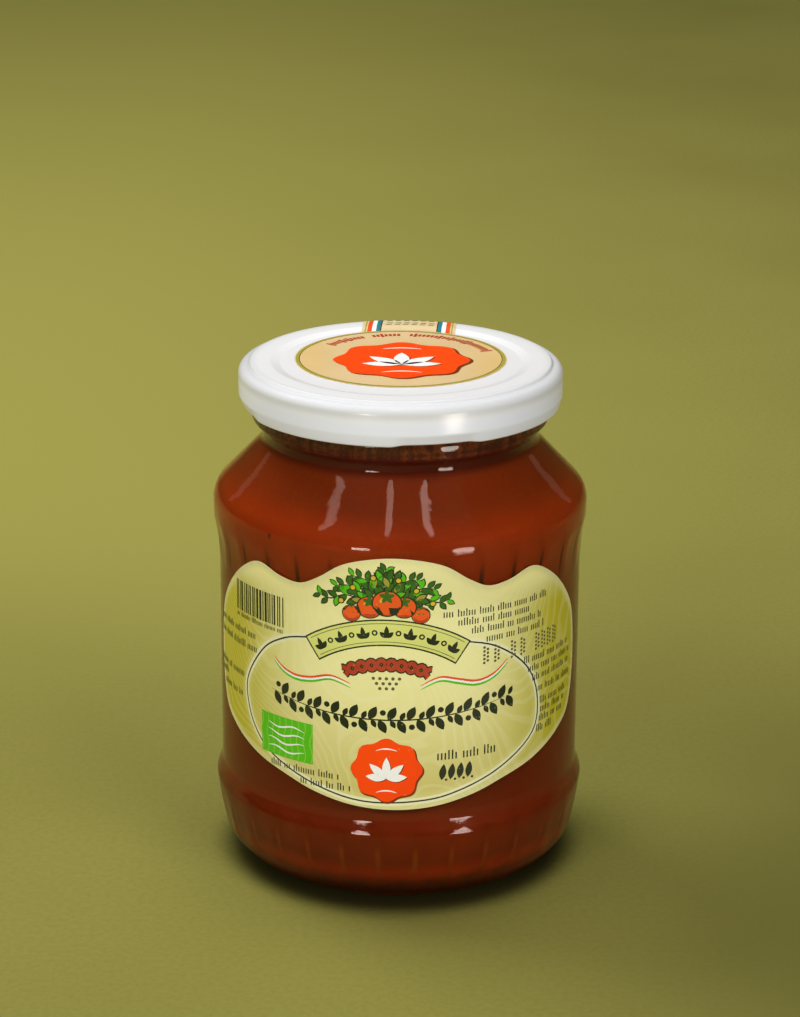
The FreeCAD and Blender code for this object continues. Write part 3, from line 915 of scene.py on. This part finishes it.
class Print:
    """One sheet for each ink."""

    def __init__(self):
        self.sheets = {}

    def __getitem__(self, ink):
        return self.sheets.setdefault(ink, Sheet())

    def make(self, prefix, place, paper_top, step):
        for ink, sheet in self.sheets.items():
            sheet.cut(*step)
            bm = sheet.wrap(place, paper_top - INK_SINK, INK)
            material = bpy.data.materials.get(f"ink_{ink}") or ink_material(ink)
            finish_piece(bm, f"{prefix}_{ink}", material)


def arc_points(x, y, radius, start, end, steps=14, squash=1.0):
    """Points on an arc, angles in degrees from the right."""
    angles = [radians(start + (end - start) * i / steps) for i in range(steps + 1)]
    return [(x + radius * cos(a), y + radius * sin(a) * squash) for a in angles]


def around(x, y, radius, turn):
    """The point at a radius and an angle (in radians, from the right) about a centre."""
    return x + radius * cos(turn), y + radius * sin(turn)


def fine_rows(sheet, rows, height):
    """Rows of plain upright ticks in short runs; rows are (x, y, length)."""
    for x, y, length in rows:
        end = x + length
        while x < end:
            for _ in range(random.randint(3, 9)):
                if x > end:
                    break
                tall = height * random.choice((1.0, 1.0, 1.0, 1.4))
                sheet.bar(x, y + (tall - height) / 2, height * 0.2, tall, 3)
                x += height * 0.52
            x += height * 0.6


def wavy_disc(x, y, radius, depth, squash, waves=8, steps=96):
    """A round outline that swells and dips evenly."""
    points = []
    for i in range(steps):
        a = 2 * pi * i / steps
        r = radius + depth * cos(waves * a)
        points.append((x + r * cos(a), y + r * sin(a) * squash))
    return points


def seal(ink, x, y, radius, level, squash):
    """A wavy orange disc with a shaded edge, a plain white sprout on it and two thin bows."""
    depth = radius * 0.055
    shade = wavy_disc(x + radius * 0.035, y - radius * 0.045, radius, depth, squash)
    ink["shade"].fill(shade, level)
    ink["orange"].fill(wavy_disc(x, y, radius * 0.985, depth, squash), level + 1)
    for low in (0.0, 1.30):
        bow = arc_points(x, y - radius * low, radius * 0.70, 64, 116, squash=squash)
        ink["white"].stroke(bow, radius * 0.045, level=level + 2, taper=True)
    for color, shift, layer in (("shade", 0.022, level + 2), ("white", 0.0, level + 3)):
        foot_x, foot_y = x + radius * shift, y - radius * (0.26 + shift)
        for turn, length in ((90, 0.66), (42, 0.66), (138, 0.66), (5, 0.60), (175, 0.60)):
            ink[color].leaf(foot_x, foot_y, radius * length, radius * 0.24, radians(turn),
                            layer)


def tomato(ink, x, y, radius, level):
    """A round tomato with a dark line round it, a shaded foot and a green star on top."""
    ink["dark"].dot(x, y, radius * 1.1, level, 28, stretch=1.06)
    ink["tomato"].dot(x, y, radius, level + 1, 28, stretch=1.06)
    low = arc_points(x, y + radius * 0.1, radius * 0.92, 200, 340, 12)
    ink["red"].stroke(low, radius * 0.32, level=level + 2, taper=True)
    ink["yellow"].dot(x - radius * 0.35, y + radius * 0.25, radius * 0.17, level + 2, 12, 1.5, 0.7)
    for k in range(5):
        turn = radians(90 + 72 * k)
        ink["leaf"].leaf(x, y + radius * 0.55, radius * 0.62, radius * 0.34, turn, level + 3)


def spray(ink, points, level, leaves, size):
    """A stem with leaves in pairs, smaller towards its tip."""
    line = smooth_line(points, steps=8)
    ink["dark"].stroke(line, 0.32, level=level, taper=True)
    for k in range(leaves):
        i = int((k + 1) / (leaves + 0.6) * (len(line) - 1))
        along = line[i] - line[i - 1]
        heading = atan2(along.y, along.x)
        scale = size * (1.1 - 0.45 * k / leaves)
        for way in (1, -1):
            turn = heading + way * radians(48)
            ink["dark"].leaf(line[i].x, line[i].y, scale * 1.12, scale * 0.62, turn, level + 1)
            ink["leaf" if (k + way) % 3 else "green"].leaf(
                line[i].x, line[i].y, scale, scale * 0.44, turn, level + 2)


def fruit_heap(ink):
    """Tomatoes on the vine over the ribbon, with yellow flowers."""
    for points in ([(-5, 70.0), (-9.5, 71.6), (-13.2, 70.4), (-16.0, 71.4)],
                   [(1.5, 70.0), (5.5, 71.4), (9.0, 70.2), (11.6, 70.8)],
                   [(-3.5, 71.5), (-5.2, 75.0), (-8.6, 76.2)],
                   [(0.4, 71.5), (2.0, 74.8), (5.2, 75.6)],
                   [(-5, 70.6), (-8.6, 73.6), (-12.0, 73.4)],
                   [(1.8, 70.6), (5.4, 73.4), (8.6, 73.2)],
                   [(-1.6, 72.0), (-2.0, 75.4), (-1.4, 78.0)]):
        spray(ink, points, 2, 5, 2.5)
    for _ in range(26):
        turn = radians(random.uniform(5, 175))
        reach = random.uniform(2.0, 6.6)
        x, y = -1.8 + 1.25 * reach * cos(turn), 69.6 + 0.95 * reach * sin(turn)
        heading = turn + random.uniform(-0.7, 0.7)
        ink["dark"].leaf(x, y, 2.7, 1.6, heading, 5)
        ink[random.choice(("leaf", "leaf", "green", "olive"))].leaf(x, y, 2.4, 1.1, heading, 6)
    for x, y, radius, level in ((-8.7, 67.6, 1.7, 7), (5.6, 67.5, 1.7, 7), (-4.9, 69.2, 2.3, 12),
                                (2.2, 69.3, 2.2, 12), (-1.3, 70.2, 2.7, 17)):
        tomato(ink, x, y, radius, level)
    for x, y in ((-8.2, 73.4), (-4.0, 75.8), (1.0, 75.4), (4.6, 73.0), (-10.8, 70.2), (8.0, 70.0)):
        ink["dark"].dot(x, y, 0.72, 7, 12)
        ink["yellow"].dot(x, y, 0.5, 8, 12)


def ribbon(ink):
    """An arched ribbon with plain leaf and ring studs."""
    for inset, color, level in ((0.0, "dark", 3), (0.32, "band", 4)):
        half = RIBBON_HALF - degrees(inset / RIBBON_OUT)
        low = arc_points(RIBBON_X, RIBBON_Z, RIBBON_IN + inset, 90 + half, 90 - half, 36)
        high = arc_points(RIBBON_X, RIBBON_Z, RIBBON_OUT - inset, 90 - half, 90 + half, 36)
        ink[color].fill(low + high, level)
    for radius in (RIBBON_IN + 0.9, RIBBON_OUT - 0.9):
        line = arc_points(RIBBON_X, RIBBON_Z, radius, 90 - RIBBON_HALF + 2, 88 + RIBBON_HALF, 30)
        ink["grey"].stroke(line, 0.14, level=5)
    studs = 13
    for k in range(studs):
        turn = radians(90 + RIBBON_HALF * 0.86 * (1 - 2 * k / (studs - 1)))
        x, y = around(RIBBON_X, RIBBON_Z, (RIBBON_IN + RIBBON_OUT) / 2, turn)
        if k % 2:
            ink["dark"].dot(x, y, 0.62, 5, 14)
            ink["band"].dot(x, y, 0.3, 6, 10)
        else:
            foot = around(x, y, -1.1, turn)
            for length, lean in ((2.6, 0), (1.9, 0.85), (1.9, -0.85)):
                ink["dark"].leaf(*foot, length, 1.0, turn + lean, 5)


def cord_and_dots(ink):
    """A red two-strand cord under the ribbon and a bunch of dots below it."""
    for shift in (0.0, pi):
        strand = []
        for k in range(61):
            share = 2 * k / 60 - 1
            radius = 20.9 + 0.95 * sin(4.5 * pi * share + shift)
            strand.append(around(RIBBON_X, RIBBON_Z, radius, radians(90 - 25.5 * share)))
        ink["dark"].stroke(strand, 1.5, level=7)
        ink["red"].stroke(strand, 0.95, level=8)
    for row in range(3):
        for k in range(5 - row):
            ink["grey"].dot(RIBBON_X + 1.35 * (k - (4 - row) / 2), 53.6 - 1.1 * row, 0.36, 3, 10)


def swashes(ink):
    """A three-coloured swash to each side."""
    for points in ([(-27.2, 54.8), (-24.8, 52.9), (-21.4, 51.9), (-17.6, 52.2), (-13.2, 53.3),
                    (-8.9, 52.0)],
                   [(5.6, 52.0), (9.6, 53.7), (13.6, 52.9), (17.8, 52.0), (21.8, 53.0),
                    (25.2, 55.6)]):
        for shift, color in ((0.0, "tomato"), (-0.45, "white"), (-0.9, "green")):
            line = smooth_line([(x, y + shift) for x, y in points], steps=6)
            ink[color].stroke(line, 0.52, level=3, taper=True)


def garland(ink):
    """Leaves and berries on a sagging stem across the middle."""
    def sag(x):
        return 44.4 + 0.0042 * x * x + 0.012 * x
    line = [(x, sag(x)) for x in [-28.0 + 52.6 * i / 60 for i in range(61)]]
    ink["dark"].stroke(line, 0.3, level=3, taper=True)
    for k in range(27):
        x = -27.0 + 2.0 * k
        way = 1 if k % 2 else -1
        turn = radians(62 * way)
        ink["dark"].leaf(x, sag(x), 3.3, 1.75, turn, 4)
        if k % 3 == 0:
            ink["dark"].dot(x + 0.9, sag(x) - 1.6 * way, 0.62, 4, 12)
        else:
            ink["dark"].leaf(x + 0.5, sag(x), 2.0, 1.1, -turn, 4)


def green_field(ink):
    """A green field with fine furrows and white wavy lines."""
    ink["green"].bar(-24.3, 37.0, 13.8, 9.0, 3)
    for k in range(9):
        line = [(-31.0 + 1.65 * k + 0.3 * sin(0.9 * t), 32.7 + 0.86 * t) for t in range(11)]
        ink["lime"].stroke(smooth_line(line, steps=3), 0.28, level=4)
    for k in range(4):
        line = [(-29.2 + 1.4 * t, 34.2 + 1.75 * k + 0.42 * sin(1.1 * t + 0.8 * k))
                for t in range(8)]
        ink["white"].stroke(smooth_line(line, steps=4), 0.42, level=5, taper=True)


# rows of ticks: (x, y, length)
UNDER_BARS = [(-40.2, 60.6, 15.6)]
SMALL_ROWS = [
    (-49.2, 57.2, 16.4), (-49.4, 54.3, 16.8), (-50.0, 47.4, 13.2), (-49.8, 45.3, 4.4),
    (-47.8, 42.8, 9.2),
    (10.4, 67.2, 26.0), (13.6, 65.2, 17.6), (16.6, 63.1, 17.8), (20.0, 60.8, 15.6),
    (29.8, 53.7, 16.4), (31.0, 51.5, 16.2), (32.4, 49.2, 14.6), (34.2, 46.4, 13.0),
    (35.0, 43.4, 11.0), (35.2, 41.4, 9.4), (34.8, 39.4, 9.0), (34.0, 37.2, 6.0),
    (-28.2, 30.7, 16.6), (-20.3, 28.4, 11.4),
]
TALL_ROW = [(9.4, 35.9, 13.2)]


def small_marks(ink):
    """A striped field, rows of fine ticks, a row of leaves and a stamp of dots, where a pack
    carries its small print."""
    x = -40.4
    while x < -24.2:
        width = random.choice((0.26, 0.26, 0.42, 0.6))
        ink["dark"].bar(x + width / 2, 64.9, width, 6.6, 3)
        x += width + random.choice((0.3, 0.42, 0.6))
    fine_rows(ink["dark"], UNDER_BARS, 0.8)
    fine_rows(ink["dark"], SMALL_ROWS, 1.15)
    fine_rows(ink["dark"], TALL_ROW, 1.5)
    for k in range(4):
        ink["dark"].leaf(10.2 + 1.9 * k, 30.6, 3.6, 1.5, radians(82), 3)
        ink["dark"].dot(11.2 + 1.9 * k, 30.6, 0.28, 3, 10)
    for x in (19.4, 22.0, 26.2, 28.8, 33.2, 35.2, 37.2, 39.2):
        for step in range(9):
            ink["grey"].dot(x + 0.8 * (step % 2), 55.6 + 0.425 * step, 0.3, 3, 8)


def label_print():
    """Generic print in the label's colours."""
    ink = Print()
    ink["cream"].stroke(oval_line(), 1.5, closed=True, level=1)
    ink["dark"].stroke(oval_line(), 0.32, closed=True, level=2)
    fruit_heap(ink)
    ribbon(ink)
    cord_and_dots(ink)
    swashes(ink)
    garland(ink)
    green_field(ink)
    seal(ink, -1.35, 33.15, 7.25, 3, 0.95)
    small_marks(ink)
    ink.make("label_print", on_jar, PAPER_LIFT + PAPER, (1.5, 2.5))


def make_sticker():
    sheet = Sheet()
    sheet.fill(arc_points(0.0, STICKER_Y, STICKER_R, 0, 360, 120)[:-1])
    sheet.cut(2.5, 2.5)
    piece = finish_piece(sheet.wrap(on_panel, PAPER_LIFT, PAPER), "sticker_sheet",
                         sticker_paper_material())
    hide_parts("lid_sticker")

    ink = Print()
    for color, inset, width, level in (("olive", 0.55, 0.7, 1), ("dark", 0.95, 0.13, 2)):
        ring = arc_points(0.0, STICKER_Y, STICKER_R - inset, 0, 360, 120)[:-1]
        ink[color].stroke(ring, width, closed=True, level=level)
    seal(ink, 0.2, STICKER_Y - 1.5, 14.0, 2, 0.97)
    ticks = 46
    for k in range(ticks):
        share = k / (ticks - 1)
        turn = radians(145 - 127 * share)
        if k in (11, 12, 20, 21):
            continue
        x, y = around(0.0, STICKER_Y, 18.3 + share, turn)
        ink["red"].bar(x, y, 0.66, random.choice((1.7, 1.7, 2.6)), 2, turn - pi / 2)
    ink.make("sticker_print", on_panel, PAPER_LIFT + PAPER, (2.5, 2.5))


def make_strip():
    length = STRIP_LENGTHS[-1]
    sheet = Sheet()
    sheet.fill([(-STRIP_HALF, 0.0), (STRIP_HALF, 0.0), (STRIP_HALF, length),
                (-STRIP_HALF, length)])
    sheet.cut(1.5, 0.5)
    piece = finish_piece(sheet.wrap(on_strip, STRIP_LIFT, STRIP_PAPER), "strip_sheet",
                         strip_paper_material())
    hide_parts("seal_strip")
    ink = Print()
    for way in (-1, 1):
        for at, width, color in ((9.5, 0.3, "olive"), (8.6, 0.95, "tomato"), (7.65, 0.9, "white"),
                                 (6.75, 0.8, "teal"), (6.2, 0.25, "dark")):
            ink[color].bar(way * at, length / 2, width, length, 1)
    for row in range(2):
        for k in range(6):
            x, y = -4.6 + 1.85 * k, 3.4 + 3.3 * row
            ink["grey"].bar(x, y, 1.2, 0.5, 1)
            ink["grey"].bar(x + 0.2, y + 1.3, 1.2, 0.5, 1)
    ink.make("strip_print", on_strip, STRIP_LIFT + STRIP_PAPER, (1.5, 0.5))


# ---- stage ----
def make_stage():
    bm = bmesh.new()
    bmesh.ops.create_grid(bm, x_segments=1, y_segments=1, size=6.0)
    mesh = bpy.data.meshes.new("floor")
    bm.to_mesh(mesh)
    bm.free()
    floor = put(bpy.data.objects.new("floor", mesh))
    floor.data.materials.append(floor_material())


COOL, WARM = (0.98, 0.99, 1.025), (1.0, 0.88, 0.80)


def add_lamp(name, spot, aim, size, watts, mirrored):
    """A flat lamp that faces its aim; it either lights the stage or is only mirrored in gloss."""
    data = bpy.data.lights.new(name, "AREA")
    data.shape = "ELLIPSE" if mirrored else "RECTANGLE"
    data.size, data.size_y = size
    data.energy, data.color = watts, WARM if mirrored else COOL
    lamp = put(bpy.data.objects.new(name, data))
    lamp.location = spot
    lamp.rotation_euler = (Vector(aim) - Vector(spot)).to_track_quat("-Z", "Y").to_euler()
    lamp.visible_glossy = mirrored
    lamp.visible_diffuse = lamp.visible_transmission = not mirrored
    lamp.visible_camera = False


def toward(azimuth, elevation, distance, aim=(0, 0, 0.06)):
    """A place seen from the aim at an azimuth from the front, positive to +X, and an elevation."""
    a, e = radians(azimuth), radians(elevation)
    return Vector(aim) + distance * Vector(
        (sin(a) * cos(e), -cos(a) * cos(e), sin(e)))


# broad lamps: name, azimuth, elevation, distance, size, watts
BROAD_LAMPS = [
    ("back_left", -128, 54, 1.1, (0.5, 0.45), 6.6),
    ("ceiling", 170, 84, 2.0, (0.9, 0.8), 9.2),
    ("key_softbox", -31, 25, 2.4, (1.3, 1.0), 30.0),
    ("front_fill", 40, 23, 2.3, (1.2, 0.9), 25.5),
]
# lamps that only draw streaks on the shoulder: a point there (m), azimuth, elevation, size, watts
STREAK_LAMPS = [
    ((-0.0135, -0.0325, 0.0895), -70, 58.4, (0.10, 0.30), 0.85),
    ((-0.0023, -0.0352, 0.0895), -13.5, 68.2, (0.075, 0.30), 0.85),
    ((0.0053, -0.0348, 0.0895), 31, 67.0, (0.085, 0.30), 1.15),
    ((-0.0310, -0.0145, 0.0895), -135, 20.0, (0.10, 0.34), 0.11),
    ((0.0310, -0.0145, 0.0895), 135, 20.0, (0.10, 0.34), 0.11),
]
STREAK_CORES = (1.0, 0.8, 0.6, 0.4, 0.2)    # the widths that a streak is laid from: soft sides
VEIL_CORES = (1.0, 0.75, 0.5)
# small lamps that are mirrored low on the glass and skirt: name, place, size, watts
LOW_CARDS = [
    ("low_card_right", (0.19, -0.26, 0.035), (0.075, 0.11), 0.20),
    ("low_card_left", (-0.16, -0.40, 0.085), (0.085, 0.07), 0.18),
]


def light_stage():
    for name, azimuth, elevation, distance, size, watts in BROAD_LAMPS:
        add_lamp(name, toward(azimuth, elevation, distance), (0, 0, 0.06), size, watts, False)
    for k, (point, azimuth, elevation, (width, height), watts) in enumerate(STREAK_LAMPS):
        spot = toward(azimuth, elevation, 1.3, point)
        for core in STREAK_CORES:
            add_lamp(f"streak_lamp_{k}", spot, point, (width * core, height),
                     watts * core / len(STREAK_CORES), True)
    shoulder = (0, 0, 0.09)
    for core in VEIL_CORES:
        add_lamp("veil", toward(0, 66, 1.2, shoulder), shoulder, (1.7 * core, 1.0 * core),
                 0.45 * core ** 2, True)
    for name, spot, size, watts in LOW_CARDS:
        add_lamp(name, spot, (0, 0, 0.08), size, watts, True)


def make_room():
    """Shiny skins see a dim olive room; all else is lit a little by a white one."""
    world = bpy.data.worlds.new("room")
    world.use_nodes = True
    nodes = Nodes(world.node_tree)
    mirrored = nodes.add("ShaderNodeLightPath").outputs["Is Glossy Ray"]
    color = nodes.mix(mirrored, (0.97, 0.98, 1.0), (0.34, 0.28, 0.075))
    sky = world.node_tree.nodes["Background"]
    nodes.feed(sky.inputs["Color"], color)
    sky.inputs["Strength"].default_value = 0.36
    bpy.context.scene.world = world


def make_camera():
    data = bpy.data.cameras.new("camera")
    data.lens, data.sensor_width = 104.42, 36.0
    data.clip_start, data.clip_end = 0.01, 50.0
    camera = put(bpy.data.objects.new("camera", data))
    camera.location = (0.0, -0.6026, 0.2791)
    look = Vector((0.0, 0.0, 0.0775)) - camera.location
    level = look.to_track_quat("-Z", "Y").to_matrix()
    roll = Matrix.Rotation(radians(0.2744), 3, "Z")
    camera.rotation_euler = (level @ roll).to_euler()
    bpy.context.scene.camera = camera


make_camera()
make_glass()
make_paste()
make_lid()
make_label()
label_print()
make_sticker()
make_strip()
make_stage()
light_stage()
make_room()
bpy.context.scene.view_settings.view_transform = "Standard"
bpy.context.scene.view_settings.gamma = 0.87
